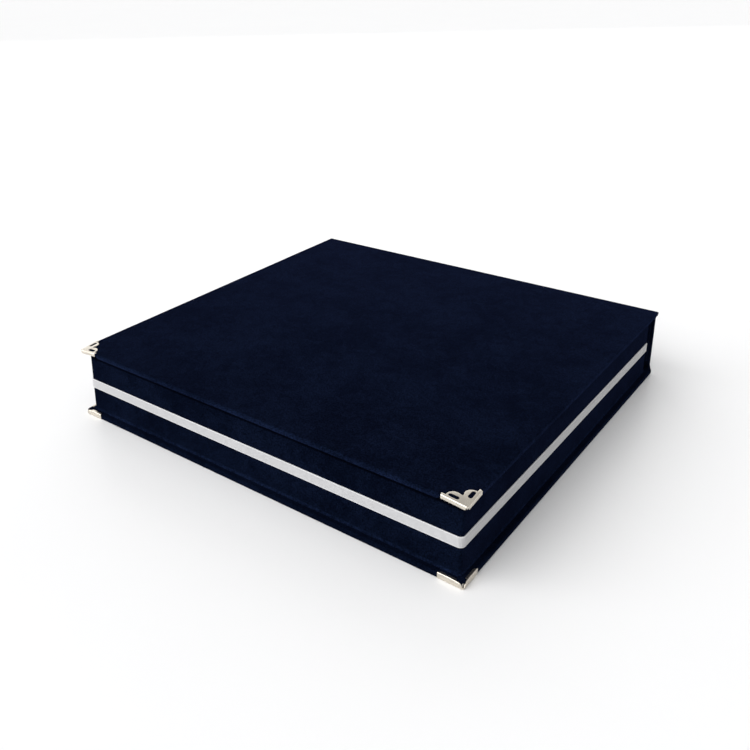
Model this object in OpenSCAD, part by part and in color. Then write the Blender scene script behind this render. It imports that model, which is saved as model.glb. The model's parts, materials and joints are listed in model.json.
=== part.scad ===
// Book-style coin case: a walled tray on the bottom cover, a free-standing spine
// and a lid, joined by two cloth hinges, with a fixed coin tray inside.
// Origin: centre of the footprint, on the surface that the case rests on.
// +X runs right along the opening edge, +Y back to the spine, +Z up. Millimetres.

/* [Case] */
// Width of the closed case, left to right
case_w = 290; // [240:5:340]
// Depth of the closed case, opening edge to spine
case_d = 290; // [240:5:340]
// Height of the closed case
case_h = 50; // [44:1:70]

/* [Covers] */
// Thickness of a finished cover, board and cloth together
cover_t = 4; // [3.4:0.2:4.4]
// Thickness of the velvet with its pile
velvet_t = 0.6; // [0.4:0.1:0.8]
// How far the covers stand out past the walls
overhang = 4; // [3:0.5:9]
// Width of the velvet that is turned in on a cover's inner face
turn_in = 24; // [16:1:40]

/* [Walls] */
// Thickness of the greyboard in a wall
wall_board_t = 2.4; // [1.8:0.2:3]
// Outer radius of the two front corners
front_r = 2.5; // [2:0.5:6]
// Outer radius of the two rear corners
rear_r = 1.5; // [1:0.5:3]
// Open gap between the rear wall and the spine
rear_gap = 4.5; // [4.5:0.5:12]
// Gap between the top of the walls and the closed lid
lid_gap = 0.3; // [0.2:0.1:0.6]

/* [Ribbon] */
// Width of the woven ribbon round the walls
ribbon_w = 6.4; // [5:0.2:12]
// Height of the ribbon's lower edge above the table
ribbon_z = 20.6; // [12:0.2:24]
// Thickness of the ribbon
ribbon_t = 0.5; // [0.3:0.1:0.6]

/* [Spine and hinges] */
// How far each end of the spine stands in from the covers' sides
spine_inset = 1.8; // [1:0.2:6]
// Running gap round the rolled cloth of a hinge
hinge_gap = 0.3; // [0.2:0.1:0.6]
// Thickness of the lining on the spine's inner face
spine_lining_t = 0.4; // [0.3:0.1:0.8]

/* [Corner protectors] */
// Thickness of the sheet metal
metal_t = 0.4; // [0.3:0.05:0.5]
// Length of each leg along the edge of a cover
leg_l = 15.4; // [14.8:0.2:18]
// Distance of each lobe's centre along its leg
lobe_along = 9; // [8.6:0.2:9.4]
// Distance of each lobe's centre in from the edge
lobe_in = 2.4; // [2.2:0.1:2.6]
// Radius of each lobe
lobe_r = 4.2; // [4:0.1:4.4]
// Length of the slot in a lobe
slot_l = 6; // [4:0.2:6.4]
// Width of the slot in a lobe
slot_w = 2.3; // [1.4:0.1:2.4]
// Width of the lip that grips the cover's inner face
lip_w = 1.8; // [1.4:0.2:2.4]
// Height of the rim that stays whole round the corner, above the slit
rim_h = 2.2; // [1.4:0.2:2.6]

/* [Coin tray] */
// Number of compartments from left to right
columns = 5; // [3:1:5]
// Number of compartments from front to back
rows = 5; // [3:1:5]
// Clearance between the tray and the walls
tray_clear = 0.7; // [0.6:0.1:1.2]
// Thickness of the tray's frame strips
frame_t = 4; // [3:0.5:6]
// Thickness of the dividers
divider_t = 2.4; // [2:0.2:3]
// Height of the dividers above the tray's floor
divider_h = 11.6; // [8:0.2:14]
// How far the frame stands above the dividers
frame_lip = 0.6; // [0:0.2:1]
// Thickness of the tray's floor board
tray_floor_t = 2; // [1.5:0.5:3]
// Thickness of the velvet pads in the compartments
pad_t = 1.2; // [0.8:0.2:2]

/* [Lining and fittings] */
// Thickness of the padded lining in the lid
lid_pad_t = 2; // [1:0.5:3]
// Gap between the padded lining and the front and side walls
lid_pad_gap = 2.4; // [2:0.2:4]
// Gap behind the padded lining, which lets it swing clear of the rear wall
lid_pad_rear_gap = 5; // [4.6:0.2:8]
// Distance from the centre to each hidden magnet
magnet_x = 70; // [40:5:100]
// Length of each hidden magnet
magnet_l = 20; // [10:1:30]
// Width of each ribbon that lifts the tray
tab_w = 16; // [10:1:24]

/* [Hidden] */
navy = [0.07, 0.08, 0.17];
ribbon_silver = [0.86, 0.86, 0.87];
nickel = [0.82, 0.80, 0.76];
greyboard = [0.62, 0.59, 0.54];
satin = [0.90, 0.89, 0.86];
foam = [0.25, 0.25, 0.27];
steel = [0.55, 0.56, 0.58];

// The hinge axes run along X where the faces of the covers and the spine meet.
axis_y = case_d / 2 - cover_t;
low_axis_z = cover_t;
high_axis_z = case_h - cover_t;
cover_rear_y = axis_y - cover_t - hinge_gap;

// Walls
wall_t = wall_board_t + 2 * velvet_t;
wall_x = case_w / 2 - overhang;
wall_front_y = -case_d / 2 + overhang;
wall_rear_y = axis_y - rear_gap;
wall_top_z = high_axis_z - lid_gap;
inner_x = wall_x - wall_t;
inner_front_y = wall_front_y + wall_t;
inner_rear_y = wall_rear_y - wall_t;
floor_z = cover_t + velvet_t;

// Coin tray
tray_x = inner_x - tray_clear;
tray_front_y = inner_front_y + tray_clear;
tray_rear_y = inner_rear_y - tray_clear;
frame_top_z = high_axis_z - lid_pad_t - 0.8;
tray_floor_z = frame_top_z - frame_lip - divider_h;
plinth_top_z = tray_floor_z - tray_floor_t;
cell_x = (2 * (tray_x - frame_t) - (columns - 1) * divider_t) / columns;
cell_y = (tray_rear_y - tray_front_y - 2 * frame_t - (rows - 1) * divider_t) / rows;
notch_w = divider_t + 0.2;

// Small working sizes
magnet_h = 5;
keeper_t = 1;
keeper_w = 7;
tab_t = 0.5;
tab_drop = 20;
tab_over = 12;
pad_clear = 0.2;
slit_w = 1.4;
eps = 0.01;
$fn = 48;

fixed_nodes = [
    "bottom_board", "bottom_velvet", "floor_lining",
    "front_wall_board", "rear_wall_board", "left_wall_board", "right_wall_board",
    "wall_velvet", "ribbon_band", "bottom_corner_left", "bottom_corner_right",
    "magnet_left", "magnet_right", "foam_plinth", "tray_floor",
    "tray_frame_front", "tray_frame_rear", "tray_frame_left", "tray_frame_right",
    "coin_pads", "lift_tab_left", "lift_tab_right",
    "lower_hinge_cloth", "upper_hinge_cloth", "spine_board", "spine_velvet", "spine_lining",
    "lid_board", "lid_velvet", "lid_padded_lining", "top_corner_left", "top_corner_right",
    "keeper_left", "keeper_right"
];

// ---- Shared shapes ----

// A block between two opposite corners
module block(low, high) {
    translate(low) cube(high - low);
}

// Footprint with rounded front and rear corners, made of squares and circles
module footprint(x, front, rear, rf, rr) {
    union() {
        translate([-x, front + rf]) square([2 * x, rear - rr - front - rf]);
        translate([-x + rf, front]) square([2 * (x - rf), rf + eps]);
        translate([-x + rr, rear - rr - eps]) square([2 * (x - rr), rr + eps]);
        for (side = [-1, 1]) {
            translate([side * (x - rf), front + rf]) circle(rf);
            translate([side * (x - rr), rear - rr]) circle(rr);
        }
    }
}

// The outer footprint of the walls, grown by d
module wall_footprint(d) {
    footprint(wall_x + d, wall_front_y - d, wall_rear_y + d, front_r + d, rear_r + d);
}

module inner_footprint(d) {
    translate([-inner_x - d, inner_front_y - d])
        square([2 * (inner_x + d), inner_rear_y - inner_front_y + 2 * d]);
}

// The board ring inside the velvet of the walls
module board_ring() {
    difference() {
        wall_footprint(-velvet_t);
        inner_footprint(velvet_t);
    }
}

// One wall's share of the board ring, between two corners in plan
module wall_board(low, high) {
    translate([0, 0, cover_t]) linear_extrude(wall_top_z - velvet_t - cover_t)
        intersection() {
            board_ring();
            translate(low) square(high - low);
        }
}

module stadium(length, width) {
    square([length - width, width], center = true);
    for (side = [-1, 1]) translate([side * (length - width) / 2, 0]) circle(width / 2);
}

// Half of the protector's lobed plate, along the +X leg, with its corner at the origin
module half_plate() {
    tip_w = 1.5;
    notch = 5.8;
    polygon([[0, 0], [leg_l - 0.4, 0], [leg_l, 0.5], [leg_l - 0.1, tip_w],
        [lobe_along + lobe_r - 0.4, 1.7], [lobe_along, lobe_in + lobe_r - 0.4],
        [notch, notch]]);
    intersection() {
        translate([lobe_along, lobe_in]) circle(lobe_r);
        square(leg_l);
    }
}

module swapped() {
    mirror([1, -1, 0]) children();
}

// Both halves of the plate, with or without the slots
module plate(with_slots) {
    difference() {
        union() {
            half_plate();
            swapped() half_plate();
        }
        if (with_slots) {
            translate([lobe_along, lobe_in + 0.2]) stadium(slot_l, slot_w);
            swapped() translate([lobe_along, lobe_in + 0.2]) stadium(slot_l, slot_w);
        }
    }
}

// One leg's lip and edge, a strip with a round far end
module leg_strip(start, width) {
    translate([start, 0]) square([leg_l - 1 - width / 2 - start, width]);
    translate([leg_l - 1 - width / 2, width / 2]) circle(width / 2);
    translate([leg_l - 1 - width / 2, 0]) square([width / 2, width / 2]);
}

// A bent sheet-metal corner, seen from outside with its plate on top. The corner is at
// the origin, the legs run along +X and +Y, and the cover lies between z = 0 and cover_t.
module protector(with_slots) {
    translate([0, 0, cover_t - metal_t]) linear_extrude(metal_t) plate(with_slots);
    for (leg = [0, 1]) mirror([leg, -leg, 0]) {
        block([0, 0, 0], [leg_l - 1, metal_t, cover_t]);
        linear_extrude(metal_t) leg_strip(3, lip_w);
    }
}

// The same corner with the slit where the two flanges part
module protector_part() {
    difference() {
        protector(true);
        translate([0, 0, -eps]) rotate([0, 0, 45])
            translate([-2, -slit_w / 2, 0]) cube([4, slit_w, cover_t - rim_h]);
    }
}

// Places a protector on a front corner: side is -1 on the left, 1 on the right
module at_top_corner(side) {
    translate([side * case_w / 2, -case_d / 2, high_axis_z])
        mirror([side == 1 ? 1 : 0, 0, 0]) children();
}

module at_bottom_corner(side) {
    translate([side * case_w / 2, -case_d / 2, cover_t]) mirror([0, 0, 1])
        mirror([side == 1 ? 1 : 0, 0, 0]) children();
}

// The board inside a cover whose lower face is at z
module cover_board(z) {
    block([-case_w / 2 + velvet_t, -case_d / 2 + velvet_t, z + velvet_t],
        [case_w / 2 - velvet_t, cover_rear_y - velvet_t, z + cover_t - velvet_t]);
}

// The opening that the turned-in velvet leaves on a cover's inner face
module cover_window(z) {
    block([-case_w / 2 + turn_in, -case_d / 2 + turn_in, z],
        [case_w / 2 - turn_in, cover_rear_y - turn_in, z + velvet_t]);
}

// A rod on a hinge axis, grown by d
module hinge_rod(z, d) {
    translate([-case_w / 2, axis_y, z]) rotate([0, 90, 0])
        cylinder(h = case_w, r = cover_t + d);
}

// A cover from face to face; its rear edge is hollowed to run round the hinge cloth
module cover_block(z, axis_z) {
    difference() {
        block([-case_w / 2, -case_d / 2, z], [case_w / 2, axis_y, z + cover_t]);
        hinge_rod(axis_z, hinge_gap);
    }
}

// ---- Bottom cover and walls ----

module bottom_board() {
    color(greyboard) cover_board(0);
}

module bottom_velvet() {
    color(navy) difference() {
        cover_block(0, low_axis_z);
        cover_board(0);
        cover_window(cover_t - velvet_t);
        for (side = [-1, 1]) at_bottom_corner(side) protector(false);
    }
}

// Floor lining inside the walls, let into the window of the turned-in velvet
module floor_lining() {
    color(navy) {
        cover_window(cover_t - velvet_t);
        block([-inner_x, inner_front_y, cover_t], [inner_x, inner_rear_y, floor_z]);
    }
}

module front_wall_board() {
    color(greyboard) difference() {
        wall_board([-wall_x, wall_front_y], [wall_x, inner_front_y - velvet_t]);
        for (side = [-1, 1]) magnet_block(side);
    }
}

module rear_wall_board() {
    color(greyboard) wall_board([-wall_x, inner_rear_y + velvet_t], [wall_x, wall_rear_y]);
}

module side_wall_board(side) {
    low_x = side < 0 ? -wall_x : inner_x + velvet_t;
    high_x = side < 0 ? -inner_x - velvet_t : wall_x;
    color(greyboard) wall_board([low_x, inner_front_y - velvet_t],
        [high_x, inner_rear_y + velvet_t]);
}

// Velvet over the outer face, the top edge and the inner face of the four walls
module wall_velvet() {
    color(navy) difference() {
        translate([0, 0, cover_t]) linear_extrude(wall_top_z - cover_t) difference() {
            wall_footprint(0);
            inner_footprint(0);
        }
        translate([0, 0, cover_t]) linear_extrude(wall_top_z - velvet_t - cover_t) board_ring();
    }
}

// Ribbon round the left, front and right walls; its ends stop at the rear corners
module ribbon_band() {
    color(ribbon_silver) translate([0, 0, ribbon_z]) linear_extrude(ribbon_w)
        intersection() {
            difference() {
                wall_footprint(ribbon_t);
                wall_footprint(0);
            }
            translate([-case_w / 2, -case_d / 2])
                square([case_w, wall_rear_y - rear_r + case_d / 2]);
        }
}

module bottom_corner(side) {
    color(nickel) at_bottom_corner(side) protector_part();
}

// The space of a bar magnet in the top edge of the front wall board
module magnet_block(side) {
    top = wall_top_z - velvet_t;
    block([side * magnet_x - magnet_l / 2, wall_front_y + velvet_t, top - magnet_h],
        [side * magnet_x + magnet_l / 2, inner_front_y - velvet_t, top]);
}

module magnet(side) {
    color(steel) magnet_block(side);
}

// ---- Coin tray, fixed on its plinth ----

module foam_plinth() {
    c = 0.4;
    color(foam) block([-inner_x + c, inner_front_y + c, floor_z],
        [inner_x - c, inner_rear_y - c, plinth_top_z]);
}

module tray_floor() {
    color(greyboard) block([-tray_x, tray_front_y, plinth_top_z],
        [tray_x, tray_rear_y, tray_floor_z]);
}

// Front and rear strips run the full width; front is -1, rear is 1
module tray_frame_long(side) {
    low_y = side < 0 ? tray_front_y : tray_rear_y - frame_t;
    color(navy) block([-tray_x, low_y, tray_floor_z], [tray_x, low_y + frame_t, frame_top_z]);
}

// Left and right strips fit between them; left is -1, right is 1
module tray_frame_short(side) {
    low_x = side < 0 ? -tray_x : tray_x - frame_t;
    color(navy) block([low_x, tray_front_y + frame_t, tray_floor_z],
        [low_x + frame_t, tray_rear_y - frame_t, frame_top_z]);
}

function cell_low_x(column) = -tray_x + frame_t + column * (cell_x + divider_t);
function cell_low_y(row) = tray_front_y + frame_t + row * (cell_y + divider_t);

// A divider along X, notched from the top where the other dividers cross it
module row_divider(i) {
    y = cell_low_y(i) - divider_t;
    half_z = tray_floor_z + divider_h / 2;
    color(navy) difference() {
        block([-tray_x + frame_t, y, tray_floor_z],
            [tray_x - frame_t, y + divider_t, tray_floor_z + divider_h]);
        for (c = [1 : columns - 1])
            translate([cell_low_x(c) - divider_t / 2 - notch_w / 2, y - 1, half_z - 0.1])
                cube([notch_w, divider_t + 2, divider_h]);
    }
}

// A divider along Y, notched from below to sit over the first ones
module column_divider(i) {
    x = cell_low_x(i) - divider_t;
    half_z = tray_floor_z + divider_h / 2;
    color(navy) difference() {
        block([x, tray_front_y + frame_t, tray_floor_z],
            [x + divider_t, tray_rear_y - frame_t, tray_floor_z + divider_h]);
        for (r = [1 : rows - 1])
            translate([x - 1, cell_low_y(r) - divider_t / 2 - notch_w / 2, tray_floor_z - 1])
                cube([divider_t + 2, notch_w, half_z - tray_floor_z + 1]);
    }
}

// One velvet pad on the floor of each compartment
module coin_pads() {
    color(navy) for (c = [0 : columns - 1]) for (r = [0 : rows - 1])
        translate([cell_low_x(c) + pad_clear, cell_low_y(r) + pad_clear, tray_floor_z])
            cube([cell_x - 2 * pad_clear, cell_y - 2 * pad_clear, pad_t]);
}

// A ribbon up the outside of the tray's frame, folded over onto it; left is -1
module lift_tab(side) {
    mid_y = (tray_front_y + tray_rear_y) / 2;
    color(ribbon_silver) mirror([side < 0 ? 1 : 0, 0, 0]) {
        block([tray_x, mid_y - tab_w / 2, frame_top_z - tab_drop + divider_h],
            [tray_x + tab_t, mid_y + tab_w / 2, frame_top_z + tab_t]);
        block([tray_x - tab_over, mid_y - tab_w / 2, frame_top_z],
            [tray_x + tab_t, mid_y + tab_w / 2, frame_top_z + tab_t]);
    }
}

// ---- Spine and cloth hinges ----

// Rolled cloth on a hinge axis; it is round about the axis and so clears both boards
module hinge_cloth(z) {
    color(navy) hinge_rod(z, 0);
}

// The board of the spine, between the two rolls of hinge cloth
module spine_core() {
    x = case_w / 2 - spine_inset - velvet_t;
    block([-x, axis_y + velvet_t, low_axis_z + cover_t + velvet_t],
        [x, case_d / 2 - velvet_t, high_axis_z - cover_t - velvet_t]);
}

module spine_window() {
    margin = 8;
    x = case_w / 2 - spine_inset - margin;
    block([-x, axis_y, low_axis_z + cover_t + margin],
        [x, axis_y + velvet_t, high_axis_z - cover_t - margin]);
}

module spine_board() {
    color(greyboard) spine_core();
}

// The velvet of the spine runs into both rolls of hinge cloth
module spine_velvet() {
    x = case_w / 2 - spine_inset;
    color(navy) difference() {
        block([-x, axis_y, low_axis_z], [x, case_d / 2, high_axis_z]);
        hinge_rod(low_axis_z, 0);
        hinge_rod(high_axis_z, 0);
        spine_core();
        spine_window();
    }
}

module spine_lining() {
    inset = 2;
    x = case_w / 2 - spine_inset - inset;
    color(navy) {
        spine_window();
        block([-x, axis_y - spine_lining_t, low_axis_z + cover_t + inset],
            [x, axis_y, high_axis_z - cover_t - inset]);
    }
}

// ---- Lid ----

// The steel strip above a magnet, let into the lower face of the lid's board
module keeper_block(side) {
    mid_y = wall_front_y + wall_t / 2;
    low_z = high_axis_z + velvet_t;
    block([side * magnet_x - magnet_l / 2, mid_y - keeper_w / 2, low_z],
        [side * magnet_x + magnet_l / 2, mid_y + keeper_w / 2, low_z + keeper_t]);
}

module keeper(side) {
    color(steel) keeper_block(side);
}

module lid_board() {
    color(greyboard) difference() {
        cover_board(high_axis_z);
        for (side = [-1, 1]) keeper_block(side);
    }
}

module lid_velvet() {
    color(navy) difference() {
        cover_block(high_axis_z, high_axis_z);
        cover_board(high_axis_z);
        cover_window(high_axis_z);
        for (side = [-1, 1]) at_top_corner(side) protector(false);
    }
}

// Padded satin that drops inside the walls when the lid is shut
module lid_padded_lining() {
    x = inner_x - lid_pad_gap;
    color(satin) {
        cover_window(high_axis_z);
        block([-x, inner_front_y + lid_pad_gap, high_axis_z - lid_pad_t],
            [x, inner_rear_y - lid_pad_rear_gap, high_axis_z]);
    }
}

module top_corner(side) {
    color(nickel) at_top_corner(side) protector_part();
}

bottom_board();
bottom_velvet();
floor_lining();
front_wall_board();
rear_wall_board();
side_wall_board(-1);  // left_wall_board
side_wall_board(1);  // right_wall_board
wall_velvet();
ribbon_band();
bottom_corner(-1);  // bottom_corner_left
bottom_corner(1);  // bottom_corner_right
magnet(-1);  // magnet_left
magnet(1);  // magnet_right
foam_plinth();
tray_floor();
tray_frame_long(-1);  // tray_frame_front
tray_frame_long(1);  // tray_frame_rear
tray_frame_short(-1);  // tray_frame_left
tray_frame_short(1);  // tray_frame_right
coin_pads();
lift_tab(-1);  // lift_tab_left
lift_tab(1);  // lift_tab_right
hinge_cloth(low_axis_z);  // lower_hinge_cloth
hinge_cloth(high_axis_z);  // upper_hinge_cloth
spine_board();
spine_velvet();
spine_lining();
lid_board();
lid_velvet();
lid_padded_lining();
top_corner(-1);  // top_corner_left
top_corner(1);  // top_corner_right
keeper(-1);  // keeper_left
keeper(1);  // keeper_right
for (i = [1 : rows - 1])
    row_divider(i);
for (i = [1 : columns - 1])
    column_divider(i);
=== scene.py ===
import json
import math

import bmesh
import bpy
import numpy as np
from mathutils import Matrix, Vector
from mathutils.geometry import delaunay_2d_cdt

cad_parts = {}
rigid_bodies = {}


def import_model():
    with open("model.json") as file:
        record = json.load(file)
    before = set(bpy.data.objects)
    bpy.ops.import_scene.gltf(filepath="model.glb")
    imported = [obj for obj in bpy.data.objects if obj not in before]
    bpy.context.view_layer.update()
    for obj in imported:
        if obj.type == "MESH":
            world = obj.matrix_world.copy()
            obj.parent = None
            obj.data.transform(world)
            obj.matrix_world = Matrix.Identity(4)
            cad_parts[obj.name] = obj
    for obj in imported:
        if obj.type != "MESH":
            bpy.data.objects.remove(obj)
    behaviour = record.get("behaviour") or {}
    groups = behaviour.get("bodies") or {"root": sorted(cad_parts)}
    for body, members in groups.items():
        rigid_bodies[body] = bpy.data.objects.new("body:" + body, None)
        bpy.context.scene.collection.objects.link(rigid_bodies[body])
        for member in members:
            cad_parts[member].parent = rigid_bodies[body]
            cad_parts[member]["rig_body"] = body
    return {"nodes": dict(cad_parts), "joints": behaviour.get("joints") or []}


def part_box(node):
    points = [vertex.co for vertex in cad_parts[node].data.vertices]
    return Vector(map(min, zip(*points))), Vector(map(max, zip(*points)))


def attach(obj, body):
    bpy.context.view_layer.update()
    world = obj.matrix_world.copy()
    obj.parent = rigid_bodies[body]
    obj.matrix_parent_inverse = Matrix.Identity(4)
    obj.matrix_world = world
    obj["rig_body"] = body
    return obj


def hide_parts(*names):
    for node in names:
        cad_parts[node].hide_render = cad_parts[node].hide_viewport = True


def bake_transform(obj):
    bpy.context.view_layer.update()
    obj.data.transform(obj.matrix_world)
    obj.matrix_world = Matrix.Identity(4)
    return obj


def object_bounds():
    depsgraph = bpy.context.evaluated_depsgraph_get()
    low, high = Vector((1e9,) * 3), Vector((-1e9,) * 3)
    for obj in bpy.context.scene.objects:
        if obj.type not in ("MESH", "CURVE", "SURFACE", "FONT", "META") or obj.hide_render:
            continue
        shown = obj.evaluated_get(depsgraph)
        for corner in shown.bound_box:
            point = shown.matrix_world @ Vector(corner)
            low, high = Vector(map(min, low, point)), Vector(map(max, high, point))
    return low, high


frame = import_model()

MM = 0.001
scene = bpy.context.scene
cad_low, cad_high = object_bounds()
hinge_at = {j["name"]: Vector(j["pos_m"]) / MM for j in frame["joints"]}


def box_mm(node):
    """Lowest and highest corners of a CAD node, in millimetres."""
    low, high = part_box(node)
    return low / MM, high / MM


# ---- Sizes in millimetres, worked out from the frame ----

case_low, case_high = cad_low / MM, cad_high / MM
case_x, case_front, case_top = case_high.x, case_low.y, case_high.z
wall_low, wall_high = box_mm("wall_velvet")
ribbon_low, ribbon_high = box_mm("ribbon_band")
spine_half = box_mm("spine_velvet")[1].x
pile_inset = 0.3                    # the pile lies this far inside the metal corners
cover_t = 3.4                       # cover from pile to pile
edge_r = 0.65                       # rounded edge of a wrapped board
hinge_cloth_t = 3.0                 # doubled velvet round a hinge
corner_droop = 1.35                 # how far the lid's front corners are knocked down
droop_along, droop_in = 14.0, 5.9   # reach of the droop along an edge, and in from it
grip_h = 2.6                        # height of a top corner's edge, which squeezes the lid
grip_along, grip_in = 17.6, 5.0     # reach of the squeeze along an edge, and in from it
front_r, rear_r = 2.5, 1.5          # outer corners of the walls
wall_t = 3.6                        # a wall's board with its velvet
pile_swell = 0.05                   # unevenness of the covers' pile
wall_swell = 0.09                   # unevenness of the walls' pile
section_t = 0.5                     # thickness of the ribbon, also in its section
lid_under = hinge_at["lid_hinge"].z + pile_inset


# ---- Node helpers ----

class Nodes:
    """A material's node tree, with a short way to add and join nodes."""

    def __init__(self, name):
        self.material = bpy.data.materials.new(name)
        self.material.use_nodes = True
        self.tree = self.material.node_tree
        self.shader = self.tree.nodes["Principled BSDF"]

    def add(self, kind, inputs=None, **settings):
        node = self.tree.nodes.new(kind)
        for key, value in settings.items():
            setattr(node, key, value)
        for key, value in (inputs or {}).items():
            self.set(node.inputs[key], value)
        return node

    def set(self, socket, value):
        if isinstance(value, bpy.types.NodeSocket):
            self.tree.links.new(value, socket)
        else:
            socket.default_value = value

    def shade(self, **values):
        for key, value in values.items():
            self.set(self.shader.inputs[key.replace("_", " ")], value)

    def place(self):
        return self.add("ShaderNodeTexCoord").outputs["Object"]

    def attribute(self, name):
        return self.add("ShaderNodeAttribute", attribute_name=name).outputs["Fac"]

    def noise(self, vector, scale, detail=3.0, roughness=0.55, distortion=0.0):
        inputs = {"Vector": vector, "Scale": scale, "Detail": detail,
                  "Roughness": roughness, "Distortion": distortion}
        return self.add("ShaderNodeTexNoise", inputs).outputs["Fac"]

    def math(self, operation, a, b=0.0):
        return self.add("ShaderNodeMath", {0: a, 1: b}, operation=operation).outputs[0]

    def spread(self, value, low, high, to_low=0.0, to_high=1.0):
        """Maps low..high to to_low..to_high, smoothly and clamped."""
        inputs = {"Value": value, "From Min": low, "From Max": high,
                  "To Min": to_low, "To Max": to_high}
        node = self.add("ShaderNodeMapRange", inputs, interpolation_type="SMOOTHSTEP")
        return node.outputs["Result"]

    def mix(self, factor, a, b):
        node = self.add("ShaderNodeMix", data_type="RGBA")
        colours = [s for s in node.inputs if s.type == "RGBA"]
        self.set(node.inputs[0], factor)
        self.set(colours[0], a)
        self.set(colours[1], b)
        return next(s for s in node.outputs if s.type == "RGBA")

    def bump(self, height, distance, strength=1.0, normal=None):
        inputs = {"Height": height, "Distance": distance, "Strength": strength}
        if normal is not None:
            inputs["Normal"] = normal
        return self.add("ShaderNodeBump", inputs).outputs["Normal"]


def rgba(r, g, b):
    return (r, g, b, 1.0)


# ---- Materials ----

def velvet(name, deep, raised, sheen_tint, sheen):
    """Short-pile velvet: nap that lies in soft patches, and a fine grain of pile. The mesh's
    rim value paints light into the colour: a painted highlight above zero, painted shade below."""
    n = Nodes(name)
    at = n.place()
    patches = n.noise(at, 24.0, 4.0, 0.6, 0.5)
    strokes = n.noise(at, 150.0, 3.0, 0.6, 0.8)
    pile = n.noise(at, 1100.0, 2.0, 0.7)
    nap = n.math("ADD", n.math("MULTIPLY", patches, 0.55), n.math("MULTIPLY", strokes, 0.45))
    nap = n.spread(nap, 0.36, 0.64)
    grain = n.spread(pile, 0.3, 0.7, 0.4, 1.6)
    colour = n.mix(nap, rgba(*deep), rgba(*raised))
    # Painted light: the rim value scales the pile's grain, lighter for a painted highlight and
    # darker below zero for painted shade.
    grain_and_painted_light = n.math("MULTIPLY", grain, n.math("ADD", n.attribute("rim"), 1.0))
    pile_with_painted_light = n.add("ShaderNodeVectorMath", {0: colour, "Scale": grain_and_painted_light}, operation="SCALE")
    normal = n.bump(pile, 0.0003, 0.6)
    normal = n.bump(strokes, 0.0008, 0.2, normal)
    n.shade(Base_Color=pile_with_painted_light.outputs[0], Roughness=n.spread(nap, 0.0, 1.0, 0.98, 0.88),
            Normal=normal)
    n.shader.inputs["Specular IOR Level"].default_value = 0.0
    n.shader.inputs["Sheen Weight"].default_value = sheen
    n.shader.inputs["Sheen Roughness"].default_value = 0.4
    n.shader.inputs["Sheen Tint"].default_value = rgba(*sheen_tint)
    return n.material


def ribbon_weave(name, dark, light):
    """Ribbed ribbon with plain selvedges. Its mesh stores the way along it, in metres, and the
    share across it, from -1 to 1."""
    n = Nodes(name)
    along, across = n.attribute("along"), n.attribute("across")
    rib_pitch = 0.00062
    wave = n.math("SINE", n.math("MULTIPLY", along, 2 * math.pi / rib_pitch))
    rib = n.spread(wave, -1.0, 1.0)
    edge = n.spread(n.math("ABSOLUTE", across), 0.80, 0.90)
    wear = n.noise(n.place(), 420.0, 4.0, 0.6)
    height = n.mix(edge, n.add("ShaderNodeCombineColor", {0: rib, 1: rib, 2: rib}).outputs[0],
                   rgba(0.9, 0.9, 0.9))
    tone = n.math("MULTIPLY", rib, n.spread(wear, 0.3, 0.7, 0.75, 1.0))
    tone = n.math("MAXIMUM", tone, edge)
    n.shade(Base_Color=n.mix(tone, rgba(*dark), rgba(*light)),
            Roughness=n.spread(wear, 0.3, 0.7, 0.42, 0.58), Normal=n.bump(height, 0.00012, 0.7))
    n.shader.inputs["Sheen Weight"].default_value = 0.25
    n.shader.inputs["Sheen Roughness"].default_value = 0.4
    n.shader.inputs["Specular IOR Level"].default_value = 0.45
    return n.material


def plated_metal(name, colour, roughness, scratch):
    """Plated sheet: fine polishing marks, and a faint dulling in patches."""
    n = Nodes(name)
    at = n.place()
    marks = n.noise(at, 2600.0, 2.0, 0.6)
    dull = n.noise(at, 300.0, 3.0, 0.6)
    dulled = [0.86 * c for c in colour]
    n.shade(Base_Color=n.mix(n.spread(dull, 0.35, 0.7), rgba(*colour), rgba(*dulled)),
            Roughness=n.spread(dull, 0.3, 0.75, *roughness),
            Normal=n.bump(marks, 0.00004, scratch))
    n.shader.inputs["Metallic"].default_value = 1.0
    return n.material


def satin(name, dark, light):
    """Satin over foam: long soft floats that catch the light along one direction."""
    n = Nodes(name)
    at = n.place()
    stretched = n.add("ShaderNodeMapping", {"Vector": at, "Scale": (1.0, 9.0, 1.0)}).outputs[0]
    floats = n.noise(stretched, 900.0, 2.0, 0.6)
    cloud = n.noise(at, 30.0, 3.0, 0.5)
    n.shade(Base_Color=n.mix(n.spread(cloud, 0.35, 0.65), rgba(*dark), rgba(*light)),
            Roughness=n.spread(floats, 0.3, 0.7, 0.30, 0.46),
            Normal=n.bump(floats, 0.00006, 0.5))
    n.shader.inputs["Anisotropic"].default_value = 0.5
    n.shader.inputs["Sheen Weight"].default_value = 0.3
    n.shader.inputs["Sheen Roughness"].default_value = 0.3
    return n.material


def board_or_foam(name, dark, light, grain_scale, depth):
    """Pressed board or foam: speckled, dull and slightly pitted."""
    n = Nodes(name)
    at = n.place()
    fibres = n.noise(at, grain_scale, 5.0, 0.7)
    cloud = n.noise(at, 60.0, 3.0, 0.5)
    tone = n.math("ADD", n.math("MULTIPLY", fibres, 0.7), n.math("MULTIPLY", cloud, 0.3))
    n.shade(Base_Color=n.mix(n.spread(tone, 0.38, 0.62), rgba(*dark), rgba(*light)),
            Roughness=n.spread(fibres, 0.3, 0.7, 0.8, 0.97), Normal=n.bump(fibres, depth, 0.6))
    return n.material


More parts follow.
